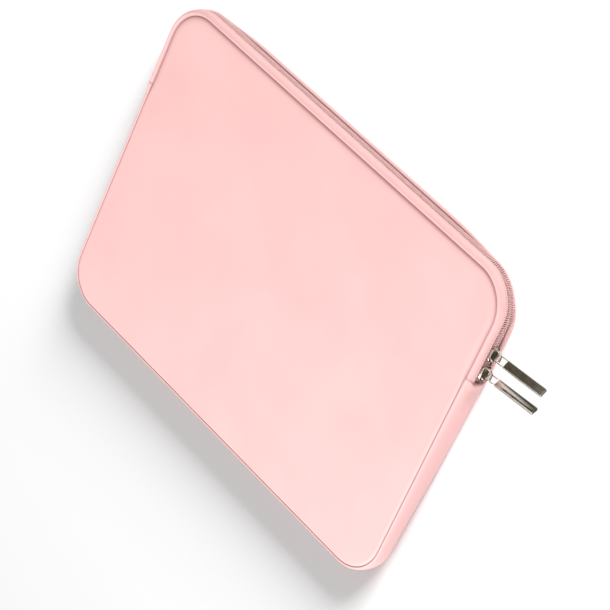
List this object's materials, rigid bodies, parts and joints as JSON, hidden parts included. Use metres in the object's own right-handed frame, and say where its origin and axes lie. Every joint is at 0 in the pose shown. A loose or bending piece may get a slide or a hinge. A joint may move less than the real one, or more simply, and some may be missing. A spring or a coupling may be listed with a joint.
{
  "type": "laptop sleeve",
  "caption": "Padded laptop sleeve with a zip over its top edge and upper sides, closed by two parked sliders with flat bar pulls.",
  "frame": {"origin": "middle of the back panel's outer face, which rests on the surface", "axes": "+X across the sleeve toward the side where both sliders park, +Y up it toward the zip's long edge, +Z through its thickness toward the front face"},
  "size_m": [0.3935, 0.2491, 0.021],
  "materials": {
    "pu_leather": "smooth matt coated leathercloth with a fine grain",
    "padding": "soft closed-cell foam",
    "plush": "short brushed pile",
    "zip_tape": "woven polyester tape",
    "zip_coil": "wound nylon coil",
    "binding": "woven binding tape",
    "thread": "twisted polyester thread",
    "nickel": "polished nickel plate"
  },
  "bodies": {
    "sleeve": {"back_panel_skin": "pu_leather", "back_panel_foam": "padding", "back_panel_lining": "plush", "front_panel_skin": "pu_leather", "front_panel_foam": "padding", "front_panel_lining": "plush", "gusset_skin": "pu_leather", "gusset_foam": "padding", "gusset_lining": "plush", "rear_zip_facing": "pu_leather", "rear_facing_foam": "padding", "rear_zip_tape": "zip_tape", "rear_zip_coil": "zip_coil", "rear_zip_topstitch": "thread", "back_seam_binding": "binding", "front_seam_binding": "binding", "front_facing_ends": "pu_leather", "front_facing_end_foam": "padding", "front_tape_ends": "zip_tape", "front_coil_ends": "zip_coil", "front_topstitch_ends": "thread"},
    "front_flap": {"front_flap_skin": "pu_leather", "front_flap_foam": "padding", "front_flap_lining": "plush", "front_zip_facing": "pu_leather", "front_facing_foam": "padding", "front_zip_tape": "zip_tape", "front_zip_coil": "zip_coil", "front_zip_topstitch": "thread", "flap_seam_binding": "binding"},
    "slider_a": {"slider_a_body": "nickel", "slider_a_crown": "nickel"},
    "pull_a": {"pull_a": "nickel"},
    "slider_b": {"slider_b_body": "nickel", "slider_b_crown": "nickel"},
    "pull_b": {"pull_b": "nickel"}
  },
  "joints": [
    {"name": "flap_fold", "type": "hinge", "parent": "sleeve", "child": "front_flap", "pos_m": [0, 0.082, 0.021], "axis": [1, 0, 0], "range_deg": [0, 75]},
    {"name": "slider_a_travel", "type": "slide", "parent": "sleeve", "child": "slider_a", "axis": [0, 1, 0], "range_m": [0, 0.014]},
    {"name": "slider_b_travel", "type": "slide", "parent": "sleeve", "child": "slider_b", "axis": [0, 1, 0], "range_m": [-0.0035, 0.003]},
    {"name": "pull_a_swing", "type": "hinge", "parent": "slider_a", "child": "pull_a", "pos_m": [0.179, 0.0732, 0.01095], "axis": [0, 0, 1], "range_deg": [-3, 65]},
    {"name": "pull_b_swing", "type": "hinge", "parent": "slider_b", "child": "pull_b", "pos_m": [0.179, 0.0585, 0.0105], "axis": [0, 0, 1], "range_deg": [-65, 3]}
  ]
}
